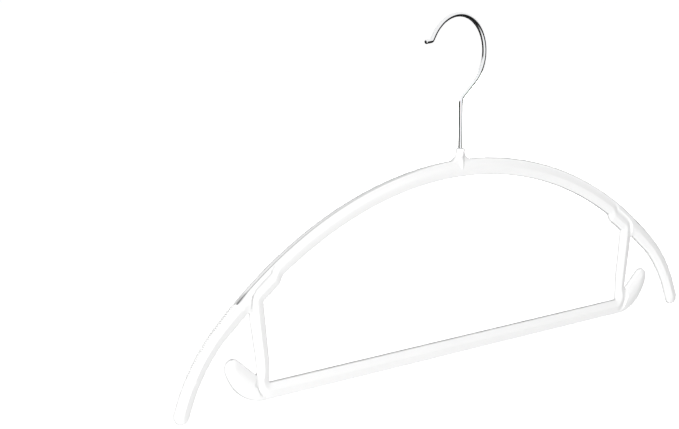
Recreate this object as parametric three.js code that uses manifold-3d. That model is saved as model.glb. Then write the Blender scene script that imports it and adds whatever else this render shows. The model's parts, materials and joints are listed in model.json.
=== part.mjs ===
// Slim clothes hanger: a flat moulded body with an arched shoulder line, a trouser bar and two
// strap hooks, a wire hook that turns in the neck of the body, and two ribbed shoulder grips.
// Millimetres, +Z up, +X along the hanger to the right, +Y to the back.
// The origin is where the hanger hangs on its rail: under the crown of the hook, on its axis.
import * as THREE from 'three';
import { mergeVertices } from 'three/addons/utils/BufferGeometryUtils.js';
import Module from 'manifold-3d';

const wasm = await Module();
wasm.setup();

// ---------------------------------------------------------------- driving dimensions
// Heights are measured from the lowest point of the shoulder tips, x from the middle.
// Angles are in degrees, clockwise from straight up.
const bodyThickness = 4.4;
const edgeRounding = 0.8;
const clearance = 0.3;

const archTop = 118.4;
const archRadius = 280;
const archWidth = 10.2;
const shoulderRadius = 95;        // the tighter curve over the end of each shoulder
const shoulderStart = 42;
const shoulderEnd = 68;
const shoulderWidth = 9.4;

const archInnerEnd = 31.2;        // the underside of the arch ends here
const jogCorner = [142.3, 64.6];
const ribHead = [153.75, 57];
const ribBend = [150, 25];
const barTop = 11.9;
const openingCornerRadii = [0.9, 2.6, 1.2, 12, 1.4];   // in the order of the corners above
const barBottom = 2.5;

const gapCentre = [164.3, 49.9];  // round top of the strap gap
const gapRadius = 1.95;
const gapStart = 38;
const gapEnd = -80.7;
const strapCorner = [156.6, 15.7];
const strapCornerRadius = 1.4;
const curlEndCentre = [174.9, 23.9];
const curlEndRadius = 5.1;
const curlEndStart = -39;
const curlUnderCentre = [152.5, 31.2];
const curlUnderStart = 108;

const neckTop = 125;
const neckWidth = 5.4;
const neckRimHeight = 123.2;
const neckFlare = 8.5;            // half width of the flare where it meets the arch
const flareBend = [0.7, 0.9];     // the flare bends this far out from the neck, above the arch
const bossRadius = 2.9;
const bossShoulder = 113.2;       // below this height the boss tapers away into the arch
const bossFoot = 110.5;
const bossFootRadius = 2;
const boreOvershoot = 1;          // the bore is cut this far past the top of the neck

const wireRadius = 1.25;
const crownHeight = 202.9;        // wire centre at the crown
const loopOffset = -2.6;
const loopRadius = 22.3;
const loopEnd = 141;              // the wire leaves the loop here, on its way to the shank
const mouthRadius = 24;           // the wider curve from the crown to the tip
const mouthEnd = -58;
const tipBend = [-24.7, 188.9];
const tipEnd = [-29.8, 188.5];
const tipBendRadius = 1.6;
const shankBendRadius = 5;
const headRadius = 1.95;          // upset head that holds the hook in the neck
const headHeight = 1.2;
const headChamfer = 0.3;
const headBottom = 114.4;

const gripAbove = 18.6;           // length of the grip above the start of the shoulder curve
const gripBelow = 28.5;
const gripDepth = 1.9;
const toothPitch = 1.2;
const toothHeight = 0.4;

// How finely the curves are drawn: degrees between the points of an arc, millimetres between
// the points along a shoulder, and pieces in everything else.
const archStep = 2;
const shoulderStep = 2.5;
const longCurveStep = 8;
const tightCurveStep = 15;
const gapStep = 20;
const runStep = 4;
const flarePieces = 6;
const cornerPieces = 4;
const strapCornerPieces = 6;
const shankBendPieces = 5;
const shankPieces = 4;
const bevelPieces = 3;
const turnedSides = 32;
const wireSides = 24;
const wireLengths = 110;
const mergeDistance = 1e-4;

const archCentre = [0, archTop - archRadius];
const shoulderCentre = [
  (archRadius - shoulderRadius) * Math.sin(radians(shoulderStart)),
  archCentre[1] + (archRadius - shoulderRadius) * Math.cos(radians(shoulderStart)),
];
const loopCentre = [loopOffset, crownHeight - loopRadius];
const seatHeight = loopCentre[1] + Math.sqrt((loopRadius - wireRadius) ** 2 - loopOffset ** 2);

// ---------------------------------------------------------------- drawing helpers
function radians(angle) {
  return angle * Math.PI / 180;
}

// A point at an angle from straight up, on a circle.
function onCircle([x, z], radius, angle) {
  return new THREE.Vector2(x + radius * Math.sin(radians(angle)), z + radius * Math.cos(radians(angle)));
}

function arc(centre, radius, from, to, stepAngle) {
  const steps = Math.max(1, Math.round(Math.abs(to - from) / stepAngle));
  const points = [];
  for (let i = 0; i <= steps; i += 1) {
    points.push(onCircle(centre, radius, from + (to - from) * i / steps));
  }
  return points;
}

// The outer edge of a shoulder, by the distance along it from the start of the shoulder curve,
// and set in from the edge by an inset.
function shoulderEdge(distance, inset) {
  const radius = distance < 0 ? archRadius : shoulderRadius;
  const centre = distance < 0 ? archCentre : shoulderCentre;
  return onCircle(centre, radius - inset, shoulderStart + distance / radius * 180 / Math.PI);
}

function shoulderRun(from, to, inset) {
  const steps = Math.round((to - from) / runStep);
  const points = [];
  for (let i = 0; i <= steps; i += 1) {
    points.push(shoulderEdge(from + (to - from) * i / steps, inset));
  }
  return points;
}

// The points that round off one corner of an outline.
function roundCorner(before, corner, after, radius, steps = cornerPieces) {
  const towardBefore = before.clone().sub(corner).normalize();
  const towardAfter = after.clone().sub(corner).normalize();
  const halfAngle = Math.acos(towardBefore.dot(towardAfter)) / 2;
  const cut = radius / Math.tan(halfAngle);
  const start = corner.clone().addScaledVector(towardBefore, cut);
  const end = corner.clone().addScaledVector(towardAfter, cut);
  const middle = towardBefore.clone().add(towardAfter).normalize();
  const centre = corner.clone().addScaledVector(middle, radius / Math.sin(halfAngle));
  const points = [];
  for (let i = 0; i <= steps; i += 1) {
    const spoke = start.clone().lerp(end, i / steps).sub(centre).normalize();
    points.push(centre.clone().addScaledVector(spoke, radius));
  }
  return points;
}

// A full outline from its right half, which runs from the top middle to the bottom middle.
function mirrored(rightHalf) {
  const leftHalf = rightHalf.map((point) => new THREE.Vector2(-point.x, point.y)).reverse();
  return rightHalf.concat(leftHalf);
}

// A flat plate in the XZ plane, centred on y = 0.
function plate(shape, thickness, rounding) {
  const geometry = new THREE.ExtrudeGeometry(shape, {
    depth: thickness - 2 * rounding,
    bevelEnabled: rounding > 0,
    bevelThickness: rounding,
    bevelSize: rounding,
    bevelOffset: -rounding,
    bevelSegments: bevelPieces,
  });
  geometry.translate(0, 0, rounding - thickness / 2);
  geometry.rotateX(Math.PI / 2);
  return geometry;
}

// A turned piece round the vertical axis, from its profile of [radius, height] points.
function turned(profile) {
  const points = profile.map(([radius, height]) => new THREE.Vector2(radius, height));
  const geometry = new THREE.LatheGeometry(points, turnedSides);
  geometry.rotateX(Math.PI / 2);
  return geometry;
}

function toSolid(geometry) {
  const bare = geometry.clone();
  bare.deleteAttribute('normal');
  bare.deleteAttribute('uv');
  const merged = mergeVertices(bare, mergeDistance);
  return new wasm.Manifold(new wasm.Mesh({
    numProp: 3,
    vertProperties: new Float32Array(merged.attributes.position.array),
    triVerts: new Uint32Array(merged.index.array),
  }));
}

function toGeometry(solid) {
  const mesh = solid.getMesh();
  const geometry = new THREE.BufferGeometry();
  geometry.setAttribute('position', new THREE.BufferAttribute(mesh.vertProperties, 3));
  geometry.setIndex(new THREE.BufferAttribute(mesh.triVerts, 1));
  geometry.computeVertexNormals();
  return geometry;
}

// ---------------------------------------------------------------- moulded body
function neckOutline() {
  const side = neckWidth / 2;
  const flareFoot = onCircle(archCentre, archRadius, Math.asin(neckFlare / archRadius) * 180 / Math.PI);
  const flare = new THREE.QuadraticBezierCurve(
    new THREE.Vector2(side, neckRimHeight),
    new THREE.Vector2(side + flareBend[0], flareFoot.y + flareBend[1]),
    flareFoot,
  );
  return [new THREE.Vector2(side, neckTop), ...flare.getPoints(flarePieces)];
}

// Outer edge of the shoulder, stepped in where the grip sits.
function shoulderOutline() {
  const pocketStart = -gripAbove - clearance;
  const pocketEnd = gripBelow + clearance;
  const curveEnd = shoulderRadius * radians(shoulderEnd - shoulderStart);
  return [
    shoulderEdge(pocketStart, 0),
    ...shoulderRun(pocketStart, pocketEnd, gripDepth + clearance),
    ...shoulderRun(pocketEnd, curveEnd, 0),
  ];
}

// The round tip, at the end of a short straight run that brings it down to height 0.
function tipOutline() {
  const radius = shoulderWidth / 2;
  const spineEnd = onCircle(shoulderCentre, shoulderRadius - radius, shoulderEnd);
  const straight = (spineEnd.y - radius) / Math.sin(radians(shoulderEnd));
  const centre = spineEnd.add(onCircle([0, 0], straight, shoulderEnd + 90)).toArray();
  return arc(centre, radius, shoulderEnd, shoulderEnd + 180, tightCurveStep);
}

function strapHookOutline() {
  const gap = arc(gapCentre, gapRadius, gapStart, gapEnd, gapStep);
  const curlEnd = arc(curlEndCentre, curlEndRadius, curlEndStart, curlUnderStart, tightCurveStep);
  const corner = new THREE.Vector2(...strapCorner);
  return [
    ...gap,
    ...roundCorner(gap.at(-1), corner, curlEnd[0], strapCornerRadius, strapCornerPieces),
    ...curlEnd,
    ...arc(curlUnderCentre, curlUnderCentre[1] - barBottom, curlUnderStart, 180, longCurveStep).slice(1),
  ];
}

function bodyOutline() {
  const flareAngle = Math.asin(neckFlare / archRadius) * 180 / Math.PI;
  const gripAngle = shoulderStart - (gripAbove + clearance) / archRadius * 180 / Math.PI;
  return mirrored([
    ...neckOutline(),
    ...arc(archCentre, archRadius, flareAngle, gripAngle, archStep).slice(1, -1),
    ...shoulderOutline(),
    ...tipOutline(),
    ...arc(shoulderCentre, shoulderRadius - shoulderWidth, shoulderEnd, shoulderStart, shoulderStep),
    ...strapHookOutline(),
  ]);
}

// The big opening between the arch, the two ribs and the trouser bar. A hole runs the other way
// round than the outline that it is in.
function openingOutline() {
  const arch = arc(archCentre, archRadius - archWidth, 0, archInnerEnd, archStep);
  const corners = [
    arch.at(-2),
    arch.at(-1),
    new THREE.Vector2(...jogCorner),
    new THREE.Vector2(...ribHead),
    new THREE.Vector2(...ribBend),
    new THREE.Vector2(ribBend[0], barTop),
    new THREE.Vector2(0, barTop),
  ];
  const rounded = openingCornerRadii.flatMap(
    (radius, i) => roundCorner(corners[i], corners[i + 1], corners[i + 2], radius),
  );
  return mirrored([...arch.slice(1, -1), ...rounded]).reverse();
}

function neckBoss() {
  return turned([
    [0, bossFoot],
    [bossFootRadius, bossFoot],
    [bossRadius, bossShoulder],
    [bossRadius, neckTop - edgeRounding],
    [bossRadius - edgeRounding / 2, neckTop],
    [0, neckTop],
  ]);
}

// The bore for the shank, with a wider pocket at its foot in which the head turns.
function hookSocket() {
  const boreRadius = wireRadius + clearance;
  const pocketRadius = headRadius + clearance;
  const pocketTop = headBottom + headHeight + clearance;
  return turned([
    [0, headBottom - clearance],
    [pocketRadius, headBottom - clearance],
    [pocketRadius, pocketTop],
    [boreRadius, pocketTop],
    [boreRadius, neckTop + boreOvershoot],
    [0, neckTop + boreOvershoot],
  ]);
}

function hangerBody() {
  const shape = new THREE.Shape(bodyOutline());
  shape.holes.push(new THREE.Path(openingOutline()));
  const blank = toSolid(plate(shape, bodyThickness, edgeRounding));
  return toGeometry(blank.add(toSolid(neckBoss())).subtract(toSolid(hookSocket())));
}

// ---------------------------------------------------------------- wire hook
function hookPath() {
  const shankFoot = new THREE.Vector2(0, headBottom + headHeight / 2);
  const loop = arc(loopCentre, loopRadius, loopEnd, 0, longCurveStep);
  const slopeLength = loop[0].x / -Math.cos(radians(loopEnd));
  const shankHead = new THREE.Vector2(0, loop[0].y - slopeLength * Math.sin(radians(loopEnd)));
  const shank = roundCorner(shankFoot, shankHead, loop[0], shankBendRadius, shankBendPieces);
  const mouth = arc([loopOffset, crownHeight - mouthRadius], mouthRadius, 0, mouthEnd, longCurveStep).slice(1);
  const bend = new THREE.Vector2(...tipBend);
  const end = new THREE.Vector2(...tipEnd);
  const straight = [];
  for (let i = 0; i < shankPieces; i += 1) {
    straight.push(shankFoot.clone().lerp(shank[0], i / shankPieces));
  }
  const route = [
    ...straight,
    ...shank,
    shank.at(-1).clone().lerp(loop[0], 0.5),
    ...loop,
    ...mouth,
    ...roundCorner(mouth.at(-1), bend, end, tipBendRadius),
    end,
  ];
  return new THREE.CatmullRomCurve3(route.map((point) => new THREE.Vector3(point.x, 0, point.y)));
}

function swivelHook() {
  const section = new THREE.Shape();
  section.absarc(0, 0, wireRadius, 0, 2 * Math.PI);
  const wire = new THREE.ExtrudeGeometry(section, {
    steps: wireLengths,
    curveSegments: wireSides / 2,
    bevelEnabled: false,
    extrudePath: hookPath(),
  });
  const head = turned([
    [0, headBottom],
    [headRadius - headChamfer, headBottom],
    [headRadius, headBottom + headChamfer],
    [headRadius, headBottom + headHeight],
    [0, headBottom + headHeight],
  ]);
  return toGeometry(toSolid(wire).add(toSolid(head)));
}

// ---------------------------------------------------------------- ribbed shoulder grip
function shoulderGrip(side) {
  const gripLength = gripAbove + gripBelow;
  const teeth = Math.round(gripLength / toothPitch);
  const ribbed = [];
  for (let i = teeth; i > 0; i -= 1) {
    ribbed.push(shoulderEdge(gripLength * i / teeth - gripAbove, 0));
    ribbed.push(shoulderEdge(gripLength * (i - 0.5) / teeth - gripAbove, -toothHeight));
  }
  ribbed.push(shoulderEdge(-gripAbove, 0));
  const seat = shoulderRun(-gripAbove, gripBelow, gripDepth);
  const outline = [...seat, ...ribbed].map((point) => new THREE.Vector2(side * point.x, point.y));
  return plate(new THREE.Shape(outline), bodyThickness, 0);
}

// ---------------------------------------------------------------- assembly
const whitePlastic = { color: 0xf4f4f2, roughness: 0.22, metalness: 0 };
const gripRubber = { color: 0xeeeeec, roughness: 0.6, metalness: 0 };
const chromeWire = { color: 0xd6d8da, roughness: 0.12, metalness: 1 };

function piece(name, geometry, finish) {
  const mesh = new THREE.Mesh(geometry, new THREE.MeshStandardMaterial(finish));
  mesh.name = name;
  return mesh;
}

const hanger = new THREE.Group();
hanger.position.z = -seatHeight;
hanger.add(piece('hanger_body', hangerBody(), whitePlastic));
hanger.add(piece('swivel_hook', swivelHook(), chromeWire));
hanger.add(piece('shoulder_grip_left', shoulderGrip(-1), gripRubber));
hanger.add(piece('shoulder_grip_right', shoulderGrip(1), gripRubber));

const model = new THREE.Group();
model.add(hanger);

export default model;
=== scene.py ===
# %% [markdown]
# # A slim clothes hanger
# A flat white moulding with an arched shoulder line, a trouser bar and two small strap hooks. A
# chromed wire hook turns in its neck, and a ribbed strip on each shoulder keeps a garment on.
# The frame brings the working model in: its sizes, its bodies and the joint of the hook. The
# pieces below are made in the same place and at the same size, in metres.

# %% Load the frame
import json
import math

import bpy
import numpy as np
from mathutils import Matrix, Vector
from mathutils.geometry import delaunay_2d_cdt

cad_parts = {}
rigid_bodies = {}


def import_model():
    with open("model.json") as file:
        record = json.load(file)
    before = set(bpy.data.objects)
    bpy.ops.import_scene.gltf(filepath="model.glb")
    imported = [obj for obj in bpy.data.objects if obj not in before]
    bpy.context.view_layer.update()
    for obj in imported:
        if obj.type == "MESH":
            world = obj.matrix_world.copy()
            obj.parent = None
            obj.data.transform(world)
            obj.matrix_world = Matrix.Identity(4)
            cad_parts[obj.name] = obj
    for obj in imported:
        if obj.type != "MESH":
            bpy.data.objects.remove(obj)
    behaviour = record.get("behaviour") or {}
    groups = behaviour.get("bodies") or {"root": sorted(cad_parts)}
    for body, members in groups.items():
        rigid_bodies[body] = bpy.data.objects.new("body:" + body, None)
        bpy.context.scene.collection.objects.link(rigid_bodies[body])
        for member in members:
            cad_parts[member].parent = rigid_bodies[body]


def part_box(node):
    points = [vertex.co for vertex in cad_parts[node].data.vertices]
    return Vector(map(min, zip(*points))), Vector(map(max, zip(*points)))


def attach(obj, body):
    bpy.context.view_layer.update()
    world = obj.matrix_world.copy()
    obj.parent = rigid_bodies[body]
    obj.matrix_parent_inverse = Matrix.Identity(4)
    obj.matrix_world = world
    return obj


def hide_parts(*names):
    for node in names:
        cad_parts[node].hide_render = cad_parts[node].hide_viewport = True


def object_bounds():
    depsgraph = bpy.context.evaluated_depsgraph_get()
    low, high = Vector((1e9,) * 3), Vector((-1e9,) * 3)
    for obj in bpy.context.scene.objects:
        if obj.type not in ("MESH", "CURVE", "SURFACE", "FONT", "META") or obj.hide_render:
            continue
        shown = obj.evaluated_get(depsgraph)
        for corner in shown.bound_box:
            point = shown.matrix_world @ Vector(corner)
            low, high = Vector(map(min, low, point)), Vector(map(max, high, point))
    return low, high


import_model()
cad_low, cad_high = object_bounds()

MM = 0.001

# %% [markdown]
# ## The camera
# The camera comes first, so that every later step can be judged in it. A long lens keeps the
# bars nearly parallel. It stands to the left of the hanger, a little above it, and looks at it
# across the corner, which shows the front faces and the thickness of the left shoulder.

# %% Place the camera
CAMERA_PLACE = (-0.7728, -0.7156, 0.0663)
CAMERA_TURN = math.radians(-43.36)
CAMERA_DIP = math.radians(9.83)
camera_data = bpy.data.cameras.new("camera")
camera_data.lens = 96.2
camera_data.sensor_width = 36
camera = bpy.data.objects.new("camera", camera_data)
camera.location = CAMERA_PLACE
camera.rotation_euler = (math.pi / 2 - CAMERA_DIP, 0, CAMERA_TURN)
bpy.context.scene.collection.objects.link(camera)
bpy.context.scene.camera = camera
print("camera distance from the hook axis: %.2f m" % math.hypot(*CAMERA_PLACE[:2]))

# %% [markdown]
# ## The studio
# White things are shown by their shades, so the light matters as much as the form. The room is
# made by a few world nodes that compare each direction with a bright side. Soft light sees a
# dim room that is a little brighter in front. Mirror rays see big white cards overhead and in
# front, and near black below and behind, which draws the dark lines along the polished wire.

# %% Light the room
SOFT_LEVELS, CARD_LEVELS = (0.07, 0.16), (0.012, 1.05)
SOFT_SIDE, SOFT_FADE = (-0.35, -0.92, 0.0), (-0.10, 0.16)
OVERHEAD, OVERHEAD_FADE = (0, 0, 1), (0.06, 0.34)
FRONT, FRONT_FADE = (-0.53, -0.85, -0.05), (0.52, 0.80)
BACKDROP_LEVEL = 1.05


def lit_side(nodes, links, place, side, fade, levels):
    compare = nodes.new("ShaderNodeVectorMath")
    compare.operation = "DOT_PRODUCT"
    compare.inputs[1].default_value = Vector(side).normalized()
    spread = nodes.new("ShaderNodeMapRange")
    spread.interpolation_type = "SMOOTHSTEP"
    for name, value in zip(("From Min", "From Max", "To Min", "To Max"), (*fade, *levels)):
        spread.inputs[name].default_value = value
    links.new(place, compare.inputs[0])
    links.new(compare.outputs["Value"], spread.inputs["Value"])
    return spread.outputs["Result"]


def make_room():
    world = bpy.data.worlds.new("studio_room")
    bpy.context.scene.world = world
    world.use_nodes = True
    nodes, links = world.node_tree.nodes, world.node_tree.links
    nodes.clear()
    place = nodes.new("ShaderNodeTexCoord").outputs["Generated"]
    soft = lit_side(nodes, links, place, SOFT_SIDE, SOFT_FADE, SOFT_LEVELS)
    above = lit_side(nodes, links, place, OVERHEAD, OVERHEAD_FADE, CARD_LEVELS)
    ahead = lit_side(nodes, links, place, FRONT, FRONT_FADE, CARD_LEVELS)
    cards = nodes.new("ShaderNodeMath")
    cards.operation = "MAXIMUM"
    ray = nodes.new("ShaderNodeLightPath")
    strength = nodes.new("ShaderNodeMix")
    room = nodes.new("ShaderNodeBackground")
    backdrop = nodes.new("ShaderNodeBackground")
    choose = nodes.new("ShaderNodeMixShader")
    output = nodes.new("ShaderNodeOutputWorld")
    links.new(above, cards.inputs[0])
    links.new(ahead, cards.inputs[1])
    links.new(ray.outputs["Is Glossy Ray"], strength.inputs["Factor"])
    links.new(soft, strength.inputs["A"])
    links.new(cards.outputs[0], strength.inputs["B"])
    links.new(strength.outputs["Result"], room.inputs["Strength"])
    links.new(ray.outputs["Is Camera Ray"], choose.inputs[0])
    links.new(room.outputs[0], choose.inputs[1])
    links.new(backdrop.outputs[0], choose.inputs[2])
    links.new(choose.outputs[0], output.inputs[0])
    room.inputs["Color"].default_value = (1, 1, 1, 1)
    backdrop.inputs["Color"].default_value = (1, 1, 1, 1)
    backdrop.inputs["Strength"].default_value = BACKDROP_LEVEL


make_room()
bpy.context.scene.view_settings.view_transform = "Standard"
print("room: soft", SOFT_LEVELS, "cards", CARD_LEVELS)


# %% [markdown]
# A wide soft lamp stands in front and to the left, level with the hanger, so the slopes that
# face right are a little darker. A weaker one stands behind, so that the back stays white too,
# and a very faint one hangs overhead. Mirror rays don't see the lamps, only the cards.


# %% Add the soft lamps
def soft_lamp(name, toward, distance, size, power):
    lamp = bpy.data.lights.new(name, "AREA")
    lamp.shape = "DISK"
    lamp.size = size
    lamp.energy = power
    holder = bpy.data.objects.new(name, lamp)
    middle = (cad_low + cad_high) / 2
    direction = Vector(toward).normalized()
    holder.location = middle + direction * distance
    holder.rotation_euler = direction.to_track_quat("Z", "Y").to_euler()
    holder.visible_glossy = False
    bpy.context.scene.collection.objects.link(holder)
    print("lamp", name, "at", [round(v, 2) for v in holder.location])


soft_lamp("key_lamp", toward=(-0.74, -0.67, 0.0), distance=6.0, size=2.4, power=670.0)
soft_lamp("back_lamp", toward=(0.60, 0.79, 0.10), distance=6.0, size=2.4, power=420.0)
soft_lamp("top_lamp", toward=(-0.30, 0.10, 0.95), distance=1.5, size=0.8, power=1.0)

# %% [markdown]
# ## The floor
# The hanger hangs, so the floor lies well below it. It is plain and pale. It is left out of
# reflections and of bounced light, so that the underside of the wire keeps its dark line and
# the lower faces keep their shade.

# %% Lay the floor
FLOOR_DROP = 0.40
FLOOR_HALF = 12.0
FLOOR_GLOW = 0.85


def lay_floor():
    level = cad_low.z - FLOOR_DROP
    corners = [(x * FLOOR_HALF, y * FLOOR_HALF, level)
               for x, y in ((-1, -1), (1, -1), (1, 1), (-1, 1))]
    mesh = bpy.data.meshes.new("floor")
    mesh.from_pydata(corners, [], [(0, 1, 2, 3)])
    floor = bpy.data.objects.new("floor", mesh)
    bpy.context.scene.collection.objects.link(floor)
    paint = bpy.data.materials.new("floor_paint")
    paint.use_nodes = True
    shader = paint.node_tree.nodes["Principled BSDF"]
    shader.inputs["Base Color"].default_value = (0.93, 0.93, 0.93, 1)
    shader.inputs["Roughness"].default_value = 0.9
    shader.inputs["Emission Color"].default_value = (1, 1, 1, 1)
    shader.inputs["Emission Strength"].default_value = FLOOR_GLOW
    mesh.materials.append(paint)
    floor.visible_glossy = False
    floor.visible_diffuse = False
    print("floor at %.3f m" % level)


lay_floor()

# %% [markdown]
# ## Shared finish effects
# Three small shader groups are built once and placed in every finish with its own values.
# Colour drift shifts a colour a little over the piece, as resin or plating does. Gloss drift
# does the same for the polish. Fine skin is a low bump for the texture of the surface.


# %% Make the shader groups
def new_group(name, wanted, given):
    group = bpy.data.node_groups.new(name, "ShaderNodeTree")
    for label, kind, value in wanted:
        socket = group.interface.new_socket(label, in_out="INPUT", socket_type=kind)
        socket.default_value = value
    for label, kind in given:
        group.interface.new_socket(label, in_out="OUTPUT", socket_type=kind)
    return group, group.nodes.new("NodeGroupInput"), group.nodes.new("NodeGroupOutput")


def colour_drift_group():
    group, given, result = new_group(
        "colour_drift",
        [("Place", "NodeSocketVector", (0, 0, 0)), ("Light", "NodeSocketColor", (1, 1, 1, 1)),
         ("Dark", "NodeSocketColor", (0.8, 0.8, 0.8, 1)), ("Scale", "NodeSocketFloat", 30)],
        [("Color", "NodeSocketColor")])
    noise = group.nodes.new("ShaderNodeTexNoise")
    noise.inputs["Detail"].default_value = 4
    noise.inputs["Roughness"].default_value = 0.55
    mix = group.nodes.new("ShaderNodeMix")
    mix.data_type = "RGBA"
    group.links.new(given.outputs["Place"], noise.inputs["Vector"])
    group.links.new(given.outputs["Scale"], noise.inputs["Scale"])
    group.links.new(noise.outputs["Fac"], mix.inputs["Factor"])
    group.links.new(given.outputs["Light"], mix.inputs["A"])
    group.links.new(given.outputs["Dark"], mix.inputs["B"])
    group.links.new(mix.outputs["Result"], result.inputs["Color"])
    return group


def gloss_drift_group():
    group, given, result = new_group(
        "gloss_drift",
        [("Place", "NodeSocketVector", (0, 0, 0)), ("Polished", "NodeSocketFloat", 0.1),
         ("Rubbed", "NodeSocketFloat", 0.3), ("Scale", "NodeSocketFloat", 60)],
        [("Roughness", "NodeSocketFloat")])
    noise = group.nodes.new("ShaderNodeTexNoise")
    noise.inputs["Detail"].default_value = 6
    spread = group.nodes.new("ShaderNodeMapRange")
    spread.inputs["From Min"].default_value = 0.3
    spread.inputs["From Max"].default_value = 0.7
    group.links.new(given.outputs["Place"], noise.inputs["Vector"])
    group.links.new(given.outputs["Scale"], noise.inputs["Scale"])
    group.links.new(noise.outputs["Fac"], spread.inputs["Value"])
    group.links.new(given.outputs["Polished"], spread.inputs["To Min"])
    group.links.new(given.outputs["Rubbed"], spread.inputs["To Max"])
    group.links.new(spread.outputs["Result"], result.inputs["Roughness"])
    return group


def fine_skin_group():
    group, given, result = new_group(
        "fine_skin",
        [("Place", "NodeSocketVector", (0, 0, 0)), ("Broad Scale", "NodeSocketFloat", 120),
         ("Fine Scale", "NodeSocketFloat", 1800), ("Fine Share", "NodeSocketFloat", 0.3)],
        [("Height", "NodeSocketFloat")])
    broad = group.nodes.new("ShaderNodeTexNoise")
    fine = group.nodes.new("ShaderNodeTexNoise")
    fine.inputs["Detail"].default_value = 3
    mix = group.nodes.new("ShaderNodeMix")
    for noise, scale in ((broad, "Broad Scale"), (fine, "Fine Scale")):
        group.links.new(given.outputs["Place"], noise.inputs["Vector"])
        group.links.new(given.outputs[scale], noise.inputs["Scale"])
    group.links.new(given.outputs["Fine Share"], mix.inputs["Factor"])
    group.links.new(broad.outputs["Fac"], mix.inputs["A"])
    group.links.new(fine.outputs["Fac"], mix.inputs["B"])
    group.links.new(mix.outputs["Result"], result.inputs["Height"])
    return group


COLOUR_DRIFT, GLOSS_DRIFT, FINE_SKIN = colour_drift_group(), gloss_drift_group(), fine_skin_group()
print("shader groups:", [g.name for g in bpy.data.node_groups])


# %% Put the groups to work in a finish
def place_group(material, group, **values):
    node = material.node_tree.nodes.new("ShaderNodeGroup")
    node.node_tree = group
    for label, value in values.items():
        node.inputs[label.replace("_", " ")].default_value = value
    return node


def new_finish(name, place, colours, gloss, skin, bump_height, bump_strength):
    material = bpy.data.materials.new(name)
    material.use_nodes = True
    nodes, links = material.node_tree.nodes, material.node_tree.links
    shader = nodes["Principled BSDF"]
    where = place(nodes)
    drift = place_group(material, COLOUR_DRIFT, **colours)
    polish = place_group(material, GLOSS_DRIFT, **gloss)
    texture = place_group(material, FINE_SKIN, **skin)
    bump = nodes.new("ShaderNodeBump")
    bump.inputs["Distance"].default_value = bump_height
    bump.inputs["Strength"].default_value = bump_strength
    for group in (drift, polish, texture):
        links.new(where, group.inputs["Place"])
    links.new(drift.outputs["Color"], shader.inputs["Base Color"])
    links.new(polish.outputs["Roughness"], shader.inputs["Roughness"])
    links.new(texture.outputs["Height"], bump.inputs["Height"])
    links.new(bump.outputs["Normal"], shader.inputs["Normal"])
    return material, shader, drift


def object_place(nodes):
    return nodes.new("ShaderNodeTexCoord").outputs["Object"]


# %% [markdown]
# ## White plastic
# The body is moulded in one shot from a glossy white resin. Its skin is smooth with a very low
# orange peel, and the white is a touch uneven where the resin flowed. A painted shade, near black
# at its darkest, runs along the outer edge of the front. It is a value stored on the mesh, because
# it follows the outline and not a direction in space.


# %% White plastic finish
def white_plastic_finish():
    material, shader, drift = new_finish(
        "white_plastic", object_place,
        dict(Light=(0.955, 0.955, 0.950, 1), Dark=(0.915, 0.917, 0.918, 1), Scale=22),
        dict(Polished=0.10, Rubbed=0.20, Scale=70),
        dict(Broad_Scale=260, Fine_Scale=2600, Fine_Share=0.25), 0.05 * MM, 0.25)
    nodes, links = material.node_tree.nodes, material.node_tree.links
    # Painted shade: a near-black colour is mixed into the white along the outer edge of the front,
    # by a strength stored on the mesh.
    line = nodes.new("ShaderNodeAttribute")
    line.attribute_name = "painted_edge_shade"
    shade = nodes.new("ShaderNodeMix")
    shade.data_type = "RGBA"
    shade.inputs["B"].default_value = (0.03, 0.03, 0.032, 1)
    links.new(line.outputs["Fac"], shade.inputs["Factor"])
    links.new(drift.outputs["Color"], shade.inputs["A"])
    links.new(shade.outputs["Result"], shader.inputs["Base Color"])
    shader.inputs["IOR"].default_value = 1.52
    shader.inputs["Coat Weight"].default_value = 0.25
    shader.inputs["Coat Roughness"].default_value = 0.05
    return material


WHITE_PLASTIC = white_plastic_finish()
print("finish:", WHITE_PLASTIC.name)


# %% [markdown]
# ## Chrome
# The hook is bright plated steel wire. Drawing the wire through its die leaves faint streaks
# along it, under the plating. They follow the wire round its bends, so the pattern reads two
# values stored along and around the wire when it is swept.


# %% Chrome finish
def wire_place(nodes):
    along = nodes.new("ShaderNodeAttribute")
    along.attribute_name = "along_wire"
    around = nodes.new("ShaderNodeAttribute")
    around.attribute_name = "around_wire"
    join = nodes.new("ShaderNodeCombineXYZ")
    tree = join.id_data
    tree.links.new(along.outputs["Fac"], join.inputs["X"])
    tree.links.new(around.outputs["Vector"], join.inputs["Y"])
    stretch = nodes.new("ShaderNodeMapping")
    stretch.inputs["Scale"].default_value = (2.0, 1.0, 1.0)
    tree.links.new(join.outputs["Vector"], stretch.inputs["Vector"])
    return stretch.outputs["Vector"]


def chrome_finish():
    material, shader, _ = new_finish(
        "chrome_wire", wire_place,
        dict(Light=(0.90, 0.905, 0.915, 1), Dark=(0.80, 0.81, 0.82, 1), Scale=14),
        dict(Polished=0.045, Rubbed=0.12, Scale=9),
        dict(Broad_Scale=4, Fine_Scale=26, Fine_Share=0.6), 0.02 * MM, 0.2)
    shader.inputs["Metallic"].default_value = 1
    return material


CHROME = chrome_finish()
print("finish:", CHROME.name)
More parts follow.
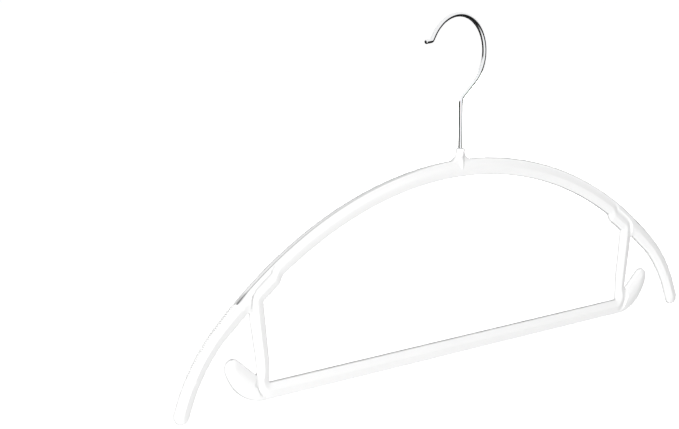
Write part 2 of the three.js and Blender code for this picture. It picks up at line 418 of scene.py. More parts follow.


# %% [markdown]
# ## Grip rubber
# The strips are a soft white rubber. It is duller than the body, with a fine matt grain. The strip
# under the ribs carries a painted shade that makes it a little darker than the ribs, standing in
# for the shade in the gaps between them.


# %% Grip rubber finish
def grip_rubber_finish():
    material, shader, drift = new_finish(
        "grip_rubber", object_place,
        dict(Light=(0.93, 0.93, 0.925, 1), Dark=(0.86, 0.862, 0.86, 1), Scale=180),
        dict(Polished=0.42, Rubbed=0.62, Scale=200),
        dict(Broad_Scale=900, Fine_Scale=5200, Fine_Share=0.5), 0.04 * MM, 0.4)
    nodes, links = material.node_tree.nodes, material.node_tree.links
    # Painted shade: the strip between the ribs is mixed towards grey by a value stored on its
    # points.
    shade_between_ribs = nodes.new("ShaderNodeAttribute")
    shade_between_ribs.attribute_name = "painted_rib_gap_shade"
    shade = nodes.new("ShaderNodeMix")
    shade.data_type = "RGBA"
    shade.inputs["B"].default_value = (0.62, 0.62, 0.615, 1)
    links.new(shade_between_ribs.outputs["Fac"], shade.inputs["Factor"])
    links.new(drift.outputs["Color"], shade.inputs["A"])
    links.new(shade.outputs["Result"], shader.inputs["Base Color"])
    return material


GRIP_RUBBER = grip_rubber_finish()
print("finish:", GRIP_RUBBER.name)

# %% [markdown]
# ## Drawing helpers
# The body is a flat outline, so it is drawn in two numbers: x, and height above the tips of the
# shoulders. Angles are in degrees, clockwise from straight up. The level of the tips comes
# from the frame, so the drawing lands where the working model is.

# %% Arcs, corners and mirrored outlines
TIP_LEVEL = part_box("hanger_body")[0].z


def on_circle(centre, radius, angle):
    turn = math.radians(angle)
    return Vector((centre[0] + radius * math.sin(turn), centre[1] + radius * math.cos(turn)))


def arc(centre, radius, start, end, step=0.25):
    count = max(1, round(abs(end - start) / step))
    return [on_circle(centre, radius, start + (end - start) * i / count) for i in range(count + 1)]


def round_corner(before, corner, after, radius, count=8):
    to_before, to_after = (before - corner).normalized(), (after - corner).normalized()
    half = to_before.angle(to_after) / 2
    cut = radius / math.tan(half)
    start, end = corner + to_before * cut, corner + to_after * cut
    centre = corner + (to_before + to_after).normalized() * radius / math.sin(half)
    spokes = [(start.lerp(end, i / count) - centre).normalized() for i in range(count + 1)]
    return [centre + spoke * radius for spoke in spokes]


def mirrored(right_half):
    return right_half + [Vector((-p.x, p.y)) for p in reversed(right_half)]


print("tips of the shoulders at %.4f m" % TIP_LEVEL)

# %% [markdown]
# ## The outline of the body
# These are the sizes that shape the moulding: a wide arch that turns into a tighter curve over
# each shoulder, a straight trouser bar on two ribs, a strap gap, and a curled strap hook. The
# big opening keeps the jog where each rib meets the arch. The outlines are worked out from
# these values, so one change moves everything that depends on it.

# %% Sizes of the body
ARCH_TOP, ARCH_RADIUS, ARCH_WIDTH = 118.4 * MM, 280 * MM, 10.2 * MM
SHOULDER_RADIUS, SHOULDER_WIDTH = 95 * MM, 9.4 * MM
SHOULDER_START, SHOULDER_END = 42, 68
ARCH_INNER_END = 31.2
JOG_CORNER = Vector((142.3, 64.6)) * MM
RIB_HEAD, RIB_BEND = Vector((153.75, 57)) * MM, Vector((150, 25)) * MM
BAR_TOP, BAR_BOTTOM = 11.9 * MM, 2.5 * MM
OPENING_RADII = [r * MM for r in (0.9, 2.6, 1.2, 12, 1.4)]
GAP_CENTRE, GAP_RADIUS = Vector((164.3, 49.9)) * MM, 1.95 * MM
GAP_START, GAP_END = 38, -80.7
STRAP_CORNER, STRAP_RADIUS = Vector((156.6, 15.7)) * MM, 1.4 * MM
CURL_CENTRE, CURL_RADIUS = Vector((174.9, 23.9)) * MM, 5.1 * MM
CURL_START, CURL_END = -39, 108
CURL_UNDER = Vector((152.5, 31.2)) * MM
NECK_HALF, NECK_TOP, NECK_DROP = 2.7 * MM, 125 * MM, 0.6 * MM
NECK_RIM, NECK_FLARE = 123.2 * MM, 8.5 * MM
FLARE_OUT, FLARE_UP = 0.7 * MM, 0.9 * MM
GRIP_ABOVE, GRIP_BELOW, GRIP_DEPTH = 18.6 * MM, 28.5 * MM, 1.9 * MM
SEAM = 0.04 * MM
ARCH_CENTRE = Vector((0, ARCH_TOP - ARCH_RADIUS))
SHOULDER_CENTRE = on_circle(ARCH_CENTRE, ARCH_RADIUS - SHOULDER_RADIUS, SHOULDER_START)
print("arch centre is %.1f mm below the tips" % (-ARCH_CENTRE.y / MM))


# %% The shoulder line, by the distance along it
def shoulder_edge(distance, inset):
    above = distance < 0
    radius = ARCH_RADIUS if above else SHOULDER_RADIUS
    centre = ARCH_CENTRE if above else SHOULDER_CENTRE
    return on_circle(centre, radius - inset, SHOULDER_START + math.degrees(distance / radius))


def shoulder_run(start, end, inset, step=1.0 * MM):
    count = round((end - start) / step)
    return [shoulder_edge(start + (end - start) * i / count, inset) for i in range(count + 1)]


# %% The outer outline
def neck_outline():
    foot = on_circle(ARCH_CENTRE, ARCH_RADIUS, math.degrees(math.asin(NECK_FLARE / ARCH_RADIUS)))
    start, bend = Vector((NECK_HALF, NECK_RIM)), Vector((NECK_HALF + FLARE_OUT, foot.y + FLARE_UP))
    flare = [start.lerp(bend, t).lerp(bend.lerp(foot, t), t) for t in np.linspace(0, 1, 13)]
    return [Vector((NECK_HALF, NECK_TOP - NECK_DROP))] + flare


def shoulder_outline(with_pocket):
    pocket_start, pocket_end = -GRIP_ABOVE - SEAM, GRIP_BELOW + SEAM
    curve_end = SHOULDER_RADIUS * math.radians(SHOULDER_END - SHOULDER_START)
    if not with_pocket:
        return shoulder_run(pocket_start, curve_end, 0)
    return ([shoulder_edge(pocket_start, 0)]
            + shoulder_run(pocket_start, pocket_end, GRIP_DEPTH + SEAM)
            + shoulder_run(pocket_end, curve_end, 0))


def tip_outline():
    radius = SHOULDER_WIDTH / 2
    spine_end = on_circle(SHOULDER_CENTRE, SHOULDER_RADIUS - radius, SHOULDER_END)
    straight = (spine_end.y - radius) / math.sin(math.radians(SHOULDER_END))
    centre = spine_end + on_circle((0, 0), straight, SHOULDER_END + 90)
    return arc(centre, radius, SHOULDER_END, SHOULDER_END + 180, 6)


def strap_hook_outline():
    gap = arc(GAP_CENTRE, GAP_RADIUS, GAP_START, GAP_END, 12)
    curl = arc(CURL_CENTRE, CURL_RADIUS, CURL_START, CURL_END, 6)
    corner = round_corner(gap[-1], STRAP_CORNER, curl[0], STRAP_RADIUS)
    return gap + corner + curl + arc(CURL_UNDER, CURL_UNDER.y - BAR_BOTTOM, CURL_END, 180, 2)[1:]


def body_outline(with_pocket=True):
    flare = math.degrees(math.asin(NECK_FLARE / ARCH_RADIUS))
    grip = SHOULDER_START - math.degrees((GRIP_ABOVE + SEAM) / ARCH_RADIUS)
    arch = arc(ARCH_CENTRE, ARCH_RADIUS, flare, grip)[1:-1]
    shoulder = shoulder_outline(with_pocket) + tip_outline()
    inner_radius = SHOULDER_RADIUS - SHOULDER_WIDTH
    inner_edge = arc(SHOULDER_CENTRE, inner_radius, SHOULDER_END, SHOULDER_START, 0.8)
    return mirrored(neck_outline() + arch + shoulder + inner_edge + strap_hook_outline())


def opening_outline():
    under = arc(ARCH_CENTRE, ARCH_RADIUS - ARCH_WIDTH, 0, ARCH_INNER_END)
    bar_corner, bar_middle = Vector((RIB_BEND.x, BAR_TOP)), Vector((0, BAR_TOP))
    corners = under[-2:] + [JOG_CORNER, RIB_HEAD, RIB_BEND, bar_corner, bar_middle]
    rounded = []
    for i, radius in enumerate(OPENING_RADII):
        rounded += round_corner(*corners[i:i + 3], radius)
    return mirrored(under[1:-1] + rounded)


print("outline points:", len(body_outline()), "opening points:", len(opening_outline()))

# %% [markdown]
# ## The moulded body
# The face of every limb is a low roof with a ridge along its middle, and its edges are well
# rounded. Bevelling a plate can't give that ridge, because the limbs change width and meet.
# Instead the thickness is worked out from the distance to the outline: it climbs in a round
# near the edge and then on a gentle slope. Round the big opening, a limb that is wide enough
# folds down again past its ridge. Spokes run in from each outline point to the middle line of
# its limb, and the points on them are joined into triangles. The pocket for each grip is cut
# square, so the thickness there is measured from the uncut edge.

# %% Split long runs and find the inward direction
RUN_STEP, LEAST_RUN = 1.0 * MM, 0.02 * MM


def split_runs(outline):
    points = []
    for i, start in enumerate(outline):
        end = outline[(i + 1) % len(outline)]
        gap = (end - start).length
        if gap < LEAST_RUN:
            continue
        count = max(1, math.ceil(gap / RUN_STEP))
        points += [start.lerp(end, j / count) for j in range(count)]
    return np.array([(p.x, p.y) for p in points])


def unit(rows):
    return rows / np.linalg.norm(rows, axis=1)[:, None]


def inward_directions(loop, inside_is_solid):
    after = np.roll(loop, -1, 0)
    along = unit(after - loop) + unit(loop - np.roll(loop, 1, 0))
    left = unit(np.stack([-along[:, 1], along[:, 0]], 1))
    area = np.sum(loop[:, 0] * after[:, 1] - loop[:, 1] * after[:, 0])
    return left if (area > 0) == inside_is_solid else -left


OUTER, OPENING = split_runs(body_outline()), split_runs(opening_outline())
UNCUT = split_runs(body_outline(with_pocket=False))
print("boundary points:", len(OUTER), "and", len(OPENING))


# %% Measure the distance to an outline
DEEPEST, DEPTH_SLACK = 14 * MM, 0.02 * MM


def distance_to(loop, points, chunk=800):
    start = loop[None, :, :]
    run = (np.roll(loop, -1, 0) - loop)[None, :, :]
    square = np.sum(run ** 2, 2)
    nearest = []
    for i in range(0, len(points), chunk):
        offset = points[i:i + chunk, None, :] - start
        share = np.clip(np.sum(offset * run, 2) / square, 0, 1)
        gap = offset - share[:, :, None] * run
        nearest.append(np.sqrt(np.min(np.sum(gap ** 2, 2), 1)))
    return np.concatenate(nearest)


def middle_depth(loop, inward):
    low, high = np.zeros(len(loop)), np.full(len(loop), DEEPEST)
    for _ in range(12):
        test = (low + high) / 2
        points = loop + inward * test[:, None]
        clear = np.minimum(distance_to(OUTER, points), distance_to(OPENING, points))
        own = clear > test - DEPTH_SLACK
        low, high = np.where(own, test, low), np.where(own, high, test)
    return low


print("middle lines are looked for down to %.0f mm" % (DEEPEST / MM))


# %% Thickness from the distance to the edge
FACE_HALF = 2.2 * MM
EDGE_HALF, EDGE_REACH, EDGE_POWER = 1.60 * MM, 0.80 * MM, 2.5
RIDGE_REACH = 4.9 * MM
FOLD_REACH, FOLD_DROP, FOLD_END, FOLD_RETURN = 4.4 * MM, 0.17, 8.7 * MM, 0.7 * MM


def edge_rise(depth):
    t = np.clip(1 - depth / EDGE_REACH, 0, 1)
    rounded = EDGE_HALF * (1 - t ** EDGE_POWER) ** (1 / EDGE_POWER)
    slope = (FACE_HALF - EDGE_HALF) / (RIDGE_REACH - EDGE_REACH)
    return np.minimum(rounded + slope * np.clip(depth - EDGE_REACH, 0, None), FACE_HALF)


def fold_rise(depth):
    past = np.clip(depth - FOLD_REACH, 0, FOLD_END - FOLD_REACH)
    back = np.clip((depth - FOLD_END) / FOLD_RETURN, 0, 1)
    return edge_rise(depth) - FOLD_DROP * past * (1 - back)


def half_thickness(points):
    from_outer, from_opening = distance_to(UNCUT, points), distance_to(OPENING, points)
    return np.minimum(edge_rise(from_outer), fold_rise(from_opening)), from_outer


sampled = np.round(edge_rise(np.array([1, 3, 5]) * MM) / MM, 2)
print("half thickness 1, 3 and 5 mm in:", sampled, "mm")

# %% Points on the spokes
EDGE_LEVELS = [t * MM for t in (0.02, 0.08, 0.18, 0.32, 0.52, 0.80)]
SPOKE_STEP = 1.15 * MM
LEAST_GAP = 0.16 * MM


def spoke_points():
    spots = []
    for loop, solid in ((OUTER, True), (OPENING, False)):
        inward = inward_directions(loop, solid)
        depths = middle_depth(loop, inward)
        for start, direction, deep in zip(loop, inward, depths):
            levels = [t for t in EDGE_LEVELS if t < 0.93 * deep]
            if deep > EDGE_LEVELS[-1] * 1.3:
                count = max(1, math.ceil((deep - EDGE_LEVELS[-1]) / SPOKE_STEP))
                levels += list(np.linspace(EDGE_LEVELS[-1], deep, count + 1)[1:-1])
            spots.append((deep, start + direction * deep))
            spots += [(0, start + direction * t) for t in levels]
    return sorted(spots, key=lambda spot: -spot[0])


def thin_out(spots):
    taken, kept = set(), []
    for _, spot in spots:
        cell = (round(spot[0] / LEAST_GAP), round(spot[1] / LEAST_GAP))
        if cell not in taken:
            taken.add(cell)
            kept.append(spot)
    return np.array(kept)


INNER_POINTS = thin_out(spoke_points())
print("points inside the outline:", len(INNER_POINTS))


# %% Join the points into triangles
def inside(loop, points):
    x, z = points[:, 0:1], points[:, 1:2]
    x0, z0 = loop[:, 0][None], loop[:, 1][None]
    x1, z1 = np.roll(loop[:, 0], -1)[None], np.roll(loop[:, 1], -1)[None]
    crosses = (z0 > z) != (z1 > z)
    at = x0 + (z - z0) * (x1 - x0) / np.where(z1 == z0, 1, z1 - z0)
    return np.sum(crosses & (x < at), 1) % 2 == 1


def flat_triangles():
    points = np.concatenate([OUTER, OPENING, INNER_POINTS])
    first, second = len(OUTER), len(OPENING)
    edges = [(i, (i + 1) % first) for i in range(first)]
    edges += [(first + i, first + (i + 1) % second) for i in range(second)]
    found = delaunay_2d_cdt([Vector(p / MM) for p in points], edges, [], 0, 1e-5)
    flat = np.array([(p.x, p.y) for p in found[0]]) * MM
    faces = np.array(found[2])
    middle = flat[faces].mean(1)
    solid = np.concatenate([inside(OUTER, part) & ~inside(OPENING, part)
                            for part in np.array_split(middle, 40)])
    return flat, faces[solid]


FLAT, FLAT_FACES = flat_triangles()
print("flat points:", len(FLAT), "triangles:", len(FLAT_FACES))

# %% [markdown]
# A painted shade along the outer edge of the front starts faint near the neck and grows towards
# the grips, where it ends in a short dark dash. Its strength is stored on each point of the mesh.

# %% Painted shade along the outer edge
LINE_DEPTH = 0.42 * MM
LINE_HALF, DASH_HALF = 0.26 * MM, 0.40 * MM
LINE_START, LINE_FULL = 18 * MM, 48 * MM
START_SHARE, GROWN_SHARE, DASH_SHARE = 0.38, 0.30, 0.28
DASH_START, DASH_FADE, DASH_PAST = 9 * MM, 5 * MM, 0.5 * MM
TOP_BAND, COVER_PEAK = 3 * MM, 1.4


# Strength of the painted shade: faint near the neck, growing towards the grips, with a dark dash
# at the end.
def painted_edge_shade(points, from_outer):
    reach = np.abs(points[:, 0])
    end = shoulder_edge(-GRIP_ABOVE, 0).x
    start = np.clip((reach - LINE_START) / (LINE_FULL - LINE_START), 0, 1)
    grown = np.clip((reach - LINE_START) / (end - LINE_START), 0, 1)
    dash = np.clip((reach - end + DASH_START) / DASH_FADE, 0, 1)
    band = np.sqrt(np.clip((ARCH_RADIUS - TOP_BAND) ** 2 - points[:, 0] ** 2, 0, None))
    on_top = points[:, 1] > ARCH_CENTRE.y + band
    half = LINE_HALF + (DASH_HALF - LINE_HALF) * dash
    cover = np.clip(COVER_PEAK - np.abs(from_outer - LINE_DEPTH) / half, 0, 1)
    strength = START_SHARE * start + GROWN_SHARE * grown ** 2 + DASH_SHARE * dash
    return cover * strength * on_top * (reach < end + DASH_PAST)


print("the dash ends %.1f mm from the middle" % (shoulder_edge(-GRIP_ABOVE, 0).x / MM))


# %% Give the flat shape its two faces
def add_object(name, mesh):
    piece = bpy.data.objects.new(name, mesh)
    bpy.context.scene.collection.objects.link(piece)
    return piece


def walls(faces, rim, back_index):
    runs = {(int(a), int(b)) for face in faces for a, b in zip(face, np.roll(face, -1))}
    made = []
    for a, b in sorted(runs):
        if (b, a) in runs or (rim[a] and rim[b]):
            continue
        corners = [b, a, int(back_index[a]), int(back_index[b])]
        made.append([c for i, c in enumerate(corners) if c not in corners[:i]])
    return made


def crowned_body():
    rise, from_outer = half_thickness(FLAT)
    rim = rise < 0.01 * MM
    # The painted edge shade is kept on the front points only; the back points get none.
    line = painted_edge_shade(FLAT, from_outer)
    back_index = np.arange(len(FLAT))
    back_index[~rim] = len(FLAT) + np.arange(np.count_nonzero(~rim))
    front = np.stack([FLAT[:, 0], -np.where(rim, 0, rise), FLAT[:, 1] + TIP_LEVEL], 1)
    back = front[~rim] * (1, -1, 1)
    faces = FLAT_FACES.tolist() + back_index[FLAT_FACES][:, ::-1].tolist()
    faces += walls(FLAT_FACES, rim, back_index)
    mesh = bpy.data.meshes.new("hanger_body_moulded")
    mesh.from_pydata(np.concatenate([front, back]).tolist(), [], faces)
    shade = mesh.attributes.new("painted_edge_shade", "FLOAT", "POINT")
    shade.data.foreach_set("value", np.concatenate([line, np.zeros(len(back))]).astype(np.float32))
    mesh.validate()
    return add_object("hanger_body_moulded", mesh)


body = crowned_body()
print("crowned body:", len(body.data.vertices), "points")

# %% [markdown]
# ## The neck
# The hook turns in a small round boss that stands out a little from the flat body, with a
# rolled rim like a cup. It is turned from a profile and joined with a boolean. The bore and
# the pocket for the head of the hook are cut the same way, so the neck is truly hollow.


# %% Turn a profile round the hook axis
def tube_faces(rows, count):
    sides = [(j * count + i, j * count + (i + 1) % count,
              (j + 1) * count + (i + 1) % count, (j + 1) * count + i)
             for j in range(rows - 1) for i in range(count)]
    return sides + [tuple(reversed(range(count))), tuple(range((rows - 1) * count, rows * count))]


def turned(name, profile, count=64):
    turns = [2 * math.pi * i / count for i in range(count)]
    points = [(math.cos(turn) * r, math.sin(turn) * r, TIP_LEVEL + h)
              for r, h in profile[1:-1] for turn in turns]
    faces = tube_faces(len(profile) - 2, count)
    mesh = bpy.data.meshes.new(name)
    mesh.from_pydata(points, [], faces)
    return add_object(name, mesh)


def scaled(profile):
    return [(r * MM, h * MM) for r, h in profile]


BOSS = scaled([(0, 110.5), (1.4, 110.5), (1.9, 111.6), (2.35, 113.6), (2.5, 116), (2.5, 120),
               (2.42, 122.4), (2.5, 122.9), (2.75, 123.2), (2.88, 123.6), (2.9, 124.1),
               (2.84, 124.6), (2.65, 124.9), (2.4, 125), (1.9, 124.9), (0, 125)])
SOCKET = scaled([(0, 114.1), (2.25, 114.1), (2.25, 115.9), (1.55, 115.9), (1.55, 124.4),
                 (1.8, 124.8), (1.95, 125.4), (0, 125.4)])


def plain_mesh(piece, name):
    shapes = bpy.context.evaluated_depsgraph_get()
    mesh = bpy.data.meshes.new_from_object(piece.evaluated_get(shapes))
    mesh.name = name
    return mesh


def join_or_cut(piece, tool, operation):
    step = piece.modifiers.new(operation.lower(), "BOOLEAN")
    step.operation = operation
    step.solver = "EXACT"
    step.object = tool
    mesh = plain_mesh(piece, piece.data.name)
    piece.modifiers.remove(step)
    piece.data = mesh
    bpy.data.objects.remove(tool)


join_or_cut(body, turned("neck_boss", BOSS), "UNION")
join_or_cut(body, turned("hook_socket", SOCKET), "DIFFERENCE")
print("body with its neck:", len(body.data.vertices), "points")

# %% [markdown]
# Smooth shading would blur the ridges, so an edge that turns by more than a few degrees on the
# open face is marked sharp, and so is the line where the boss meets the face. The rounded
# borders stay smooth.

# %% Mark the ridges and finish the body
RIDGE_ANGLE, NECK_ANGLE = math.radians(9), math.radians(22)
OPEN_FACE, BOSS_HALF = EDGE_HALF * 1.04, NECK_HALF * 1.2
BOSS_FOOT, BOSS_RIM = BOSS[0][1] + TIP_LEVEL, BOSS[6][1] + TIP_LEVEL


def is_sharp(ends, turn):
    on_face = min(abs(end.y) for end in ends) > OPEN_FACE
    on_boss = all(abs(end.x) < BOSS_HALF and BOSS_FOOT < end.z < BOSS_RIM for end in ends)
    return (on_face and turn > RIDGE_ANGLE) or (on_boss and turn > NECK_ANGLE)


def finish_body():
    mesh = body.data
    mesh.materials.clear()
    mesh.materials.append(WHITE_PLASTIC)
    mesh.polygons.foreach_set("use_smooth", [True] * len(mesh.polygons))
    normals = {}
    for face in mesh.polygons:
        for key in face.edge_keys:
            normals.setdefault(key, []).append(face.normal.copy())
    sharp = 0
    for edge in mesh.edges:
        pair = normals.get(tuple(sorted(edge.vertices)), [])
        turn = pair[0].angle(pair[1], 0) if len(pair) == 2 else 0
        if is_sharp([mesh.vertices[i].co for i in edge.vertices], turn):
            edge.use_edge_sharp = True
            sharp += 1
    print("ridge edges:", sharp)


finish_body()

# %% [markdown]
# ## The wire hook
# One length of wire is bent into a loop, with a short turned-out tip. A sweep is the right way:
# a round section is carried along a drawn path. Geometry Nodes do it, with the wire's radius,
# the cut edge and the head on its foot as named inputs. Each point also keeps how far along
# and around the wire it lies, for the chrome finish.

# %% Sizes and path of the wire
WIRE_RADIUS = 1.25 * MM
CROWN_HEIGHT, LOOP_OFFSET, LOOP_RADIUS, LOOP_END = 202.9 * MM, -2.6 * MM, 22.3 * MM, 141
MOUTH_RADIUS, MOUTH_END = 24 * MM, -58
TIP_BEND, TIP_END, TIP_RADIUS = Vector((-24.7, 188.9)) * MM, Vector((-29.8, 188.5)) * MM, 1.6 * MM
SHANK_RADIUS, SHANK_FOOT = 5 * MM, 114.4 * MM
HEAD_RADIUS, HEAD_HEIGHT = 1.95 * MM, 1.2 * MM


def wire_path():
    loop = arc((LOOP_OFFSET, CROWN_HEIGHT - LOOP_RADIUS), LOOP_RADIUS, LOOP_END, 0, 1.5)
    mouth = arc((LOOP_OFFSET, CROWN_HEIGHT - MOUTH_RADIUS), MOUTH_RADIUS, 0, MOUTH_END, 1.5)[1:]
    slope = math.radians(180 - LOOP_END)
    foot = Vector((0, SHANK_FOOT))
    knee = Vector((0, loop[0].y - loop[0].x * math.tan(slope)))
    shank = [foot] + round_corner(foot, knee, loop[0], SHANK_RADIUS, 16)
    tip = round_corner(mouth[-1], TIP_BEND, TIP_END, TIP_RADIUS, 10) + [TIP_END]
    return shank + loop + mouth + tip


def path_object(name, points):
    curve = bpy.data.curves.new(name, "CURVE")
    curve.dimensions = "3D"
    spline = curve.splines.new("POLY")
    spline.points.add(len(points) - 1)
    for spot, point in zip(spline.points, points):
        spot.co = (point.x, 0, point.y + TIP_LEVEL, 1)
    return add_object(name, curve)


print("wire path points:", len(wire_path()))


# %% Build a node tree with named inputs
def new_tree(name, sizes):
    tree = bpy.data.node_groups.new(name, "GeometryNodeTree")
    tree.interface.new_socket("Geometry", in_out="INPUT", socket_type="NodeSocketGeometry")
    for label in sizes:
        tree.interface.new_socket(label, in_out="INPUT", socket_type="NodeSocketFloat")
    tree.interface.new_socket("Finish", in_out="INPUT", socket_type="NodeSocketMaterial")
    tree.interface.new_socket("Geometry", in_out="OUTPUT", socket_type="NodeSocketGeometry")
    return tree, tree.nodes.new("NodeGroupInput"), tree.nodes.new("NodeGroupOutput")


def math_node(tree, operation, first, second, third=None):
    node = tree.nodes.new("ShaderNodeMath")
    node.operation = operation
    for socket, value in zip(node.inputs, (first, second, third)):
        if isinstance(value, bpy.types.NodeSocket):
            tree.links.new(value, socket)
        elif value is not None:
            socket.default_value = value
    return node.outputs[0]


def run_tree(piece, tree, values, name):
    step = piece.modifiers.new(tree.name, "NODES")
    step.node_group = tree
    for item in tree.interface.items_tree:
        if item.in_out == "INPUT" and item.name in values:
            step[item.identifier] = values[item.name]
    mesh = plain_mesh(piece, name)
    bpy.data.objects.remove(piece)
    return mesh


def end_tree(tree, geometry, given, result):
    real = tree.nodes.new("GeometryNodeRealizeInstances")
    smooth = tree.nodes.new("GeometryNodeSetShadeSmooth")
    paint = tree.nodes.new("GeometryNodeSetMaterial")
    tree.links.new(geometry, real.inputs[0])
    tree.links.new(real.outputs[0], smooth.inputs["Geometry"])
    tree.links.new(smooth.outputs[0], paint.inputs["Geometry"])
    tree.links.new(given.outputs["Finish"], paint.inputs["Material"])
    tree.links.new(paint.outputs[0], result.inputs["Geometry"])


# %% The swept wire
def swept_wire_tree():
    tree, given, result = new_tree(
        "swept_wire", ["Wire Radius", "Step", "Cut Edge", "Head Radius", "Head Height"])
    nodes, links = tree.nodes, tree.links
    even = nodes.new("GeometryNodeResampleCurve")
    even.mode = "LENGTH"
    spot = nodes.new("GeometryNodeSplineParameter")
    length = nodes.new("GeometryNodeCurveLength")
    radius = nodes.new("GeometryNodeSetCurveRadius")
    along = nodes.new("GeometryNodeStoreNamedAttribute")
    along.data_type, along.domain = "FLOAT", "POINT"
    along.inputs["Name"].default_value = "along_wire"
    ring = nodes.new("GeometryNodeCurvePrimitiveCircle")
    ring.inputs["Resolution"].default_value = 40
    around = nodes.new("GeometryNodeStoreNamedAttribute")
    around.data_type, around.domain = "FLOAT_VECTOR", "POINT"
    around.inputs["Name"].default_value = "around_wire"
    ring_spot = nodes.new("GeometryNodeInputPosition")
    sweep = nodes.new("GeometryNodeCurveToMesh")
    sweep.inputs["Fill Caps"].default_value = True
    links.new(given.outputs["Geometry"], even.inputs["Curve"])
    links.new(given.outputs["Step"], even.inputs["Length"])
    links.new(even.outputs[0], length.inputs[0])
    to_end = math_node(tree, "SUBTRACT", length.outputs[0], spot.outputs["Length"])
    near_end = math_node(tree, "DIVIDE", to_end, given.outputs["Cut Edge"])
    held = math_node(tree, "MINIMUM", near_end, 1.0)
    inverse = math_node(tree, "SUBTRACT", 1.0, held)
    steep = math_node(tree, "POWER", inverse, 2.0)
    drop = math_node(tree, "MULTIPLY", steep, given.outputs["Cut Edge"])
    plain = math_node(tree, "SUBTRACT", given.outputs["Wire Radius"], drop)
    on_head = math_node(tree, "LESS_THAN", spot.outputs["Length"], given.outputs["Head Height"])
    extra = math_node(tree, "SUBTRACT", given.outputs["Head Radius"], given.outputs["Wire Radius"])
    thick = math_node(tree, "MULTIPLY_ADD", on_head, extra, plain)
    links.new(even.outputs[0], radius.inputs["Curve"])
    links.new(thick, radius.inputs["Radius"])
    links.new(radius.outputs[0], along.inputs["Geometry"])
    links.new(spot.outputs["Length"], along.inputs["Value"])
    links.new(ring.outputs["Curve"], around.inputs["Geometry"])
    links.new(ring_spot.outputs[0], around.inputs["Value"])
    links.new(along.outputs[0], sweep.inputs["Curve"])
    links.new(around.outputs[0], sweep.inputs["Profile Curve"])
    links.new(thick, sweep.inputs["Scale"])
    end_tree(tree, sweep.outputs[0], given, result)
    return tree


def make_hook():
    sizes = {"Wire Radius": WIRE_RADIUS, "Step": 0.12 * MM, "Cut Edge": 0.35 * MM,
             "Head Radius": HEAD_RADIUS, "Head Height": HEAD_HEIGHT, "Finish": CHROME}
    path = path_object("wire_path", wire_path())
    mesh = run_tree(path, swept_wire_tree(), sizes, "swivel_hook_wire")
    return add_object("swivel_hook_wire", mesh)


hook = make_hook()
print("wire:", len(hook.data.vertices), "points, box", [round(v / MM, 1) for v in hook.dimensions])

# %% [markdown]
# ## The shoulder grips
# Each grip is a thin strip of soft rubber let into the outer edge of the shoulder, with a row
# of small cross ribs. The strip follows the shoulder line and carries on the round of the edge.
# The ribs repeat along the same line, so Geometry Nodes place one rib at every pitch.


# %% The strip under the ribs
RIB_PITCH, RIB_RADIUS, RIB_HALF = 1.2 * MM, 0.40 * MM, 1.55 * MM
RIB_PINCH, RIB_SUNK = 0.55, RIB_RADIUS * 0.25
STRIP_PROUD, STRIP_STEP = 0.03 * MM, 0.5 * MM


def strip_section():
    insets = GRIP_DEPTH * np.linspace(0, 1, 11) ** 2
    rises = edge_rise(insets) + STRIP_PROUD
    front = [(-rise, inset) for rise, inset in zip(rises, insets)]
    return front[::-1] + [(-y, inset) for y, inset in front]


def strip_mesh(name, side):
    section = strip_section()
    count = round((GRIP_ABOVE + GRIP_BELOW) / STRIP_STEP)
    points = []
    for i in range(count + 1):
        distance = -GRIP_ABOVE + (GRIP_ABOVE + GRIP_BELOW) * i / count
        for y, inset in section:
            spot = shoulder_edge(distance, inset)
            points.append((side * spot.x, y, spot.y + TIP_LEVEL))
    faces = tube_faces(count + 1, len(section))
    mesh = bpy.data.meshes.new(name)
    mesh.from_pydata(points, [], [face if side < 0 else face[::-1] for face in faces])
    return mesh


# %% The row of ribs
def rib_row_tree():
    tree, given, result = new_tree("rib_row", ["Rib Pitch", "Rib Radius", "Rib Length"])
    nodes, links = tree.nodes, tree.links
    even = nodes.new("GeometryNodeResampleCurve")
    even.mode = "LENGTH"
    rib = nodes.new("GeometryNodeMeshCylinder")
    rib.inputs["Vertices"].default_value = 14
    rib.inputs["Side Segments"].default_value = 6
    pinch = nodes.new("GeometryNodeSetPosition")
    spot = nodes.new("GeometryNodeInputPosition")
    split = nodes.new("ShaderNodeSeparateXYZ")
    join = nodes.new("ShaderNodeCombineXYZ")
    turn = nodes.new("GeometryNodeTransform")
    turn.inputs["Rotation"].default_value = (math.pi / 2, 0, 0)
    copies = nodes.new("GeometryNodeInstanceOnPoints")
    links.new(given.outputs["Geometry"], even.inputs["Curve"])
    links.new(given.outputs["Rib Pitch"], even.inputs["Length"])
    links.new(given.outputs["Rib Radius"], rib.inputs["Radius"])
    links.new(given.outputs["Rib Length"], rib.inputs["Depth"])
    links.new(spot.outputs[0], split.inputs[0])
    half = math_node(tree, "MULTIPLY", given.outputs["Rib Length"], 0.5)
    out = math_node(tree, "DIVIDE", math_node(tree, "ABSOLUTE", split.outputs["Z"], 0.0), half)
    pinched = math_node(tree, "MULTIPLY", math_node(tree, "POWER", out, 6.0), RIB_PINCH)
    narrow = math_node(tree, "SUBTRACT", 1.0, pinched)
    for axis in ("X", "Y"):
        links.new(math_node(tree, "MULTIPLY", split.outputs[axis], narrow), join.inputs[axis])
    links.new(split.outputs["Z"], join.inputs["Z"])
    links.new(rib.outputs["Mesh"], pinch.inputs["Geometry"])
    links.new(join.outputs[0], pinch.inputs["Position"])
    links.new(pinch.outputs[0], turn.inputs["Geometry"])
    links.new(even.outputs[0], copies.inputs["Points"])
    links.new(turn.outputs[0], copies.inputs["Instance"])
    end_tree(tree, copies.outputs[0], given, result)
    return tree


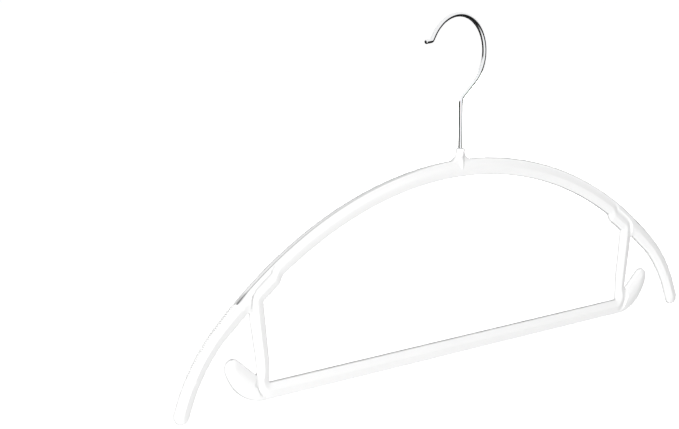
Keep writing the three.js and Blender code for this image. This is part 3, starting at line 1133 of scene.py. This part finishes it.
def join_meshes(name, parts):
    points, faces, gap_shade_values = [], [], []
    for mesh, foot in parts:
        base = len(points)
        points += [tuple(v.co) for v in mesh.vertices]
        faces += [tuple(base + i for i in face.vertices) for face in mesh.polygons]
        gap_shade_values += [foot] * len(mesh.vertices)
    joined = bpy.data.meshes.new(name)
    joined.from_pydata(points, [], faces)
    # Each piece's share of the painted shade between the ribs is kept on its points.
    shade_between_ribs = joined.attributes.new("painted_rib_gap_shade", "FLOAT", "POINT")
    shade_between_ribs.data.foreach_set("value", gap_shade_values)
    joined.materials.append(GRIP_RUBBER)
    joined.polygons.foreach_set("use_smooth", [True] * len(joined.polygons))
    joined.set_sharp_from_angle(angle=math.radians(40))
    return joined


def make_grip(name, side, tree):
    first, last = -GRIP_ABOVE + RIB_PITCH / 2, GRIP_BELOW - RIB_PITCH / 2
    line = shoulder_run(first, last, RIB_SUNK, STRIP_STEP)
    path = path_object("rib_line", [Vector((side * p.x, p.y)) for p in line])
    sizes = {"Rib Pitch": RIB_PITCH, "Rib Radius": RIB_RADIUS, "Rib Length": 2 * RIB_HALF,
             "Finish": GRIP_RUBBER}
    ribs = run_tree(path, tree, sizes, "ribs")
    # The strip gets a quarter of the painted shade between the ribs, and the ribs get none.
    return add_object(name, join_meshes(name, [(strip_mesh("strip", side), 0.25), (ribs, 0.0)]))


RIB_ROW = rib_row_tree()
grips = {side: make_grip("shoulder_grip_%s_ribbed" % side, sign, RIB_ROW)
         for side, sign in (("left", -1), ("right", 1))}
for side, grip in grips.items():
    print("grip", side, len(grip.data.vertices), "points")

# %% [markdown]
# ## Put the pieces on their bodies
# The wire rides on the hook's body, and everything else on the hanger's. Each new piece stands for
# the plain solid of the working model.

# %% Ride and replace
PIECES = [(body, "hanger", "hanger_body", "white_plastic"),
          (hook, "hook", "swivel_hook", "chrome_wire"),
          (grips["left"], "hanger", "shoulder_grip_left", "grip_rubber"),
          (grips["right"], "hanger", "shoulder_grip_right", "grip_rubber")]
for piece, carrier, node, finish_slot in PIECES:
    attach(piece, carrier)
    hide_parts(node)
    print(piece.name, "rides on", carrier)

# %% Print the size of the working model
print("cad box", [round(v / MM, 2) for v in cad_high - cad_low])
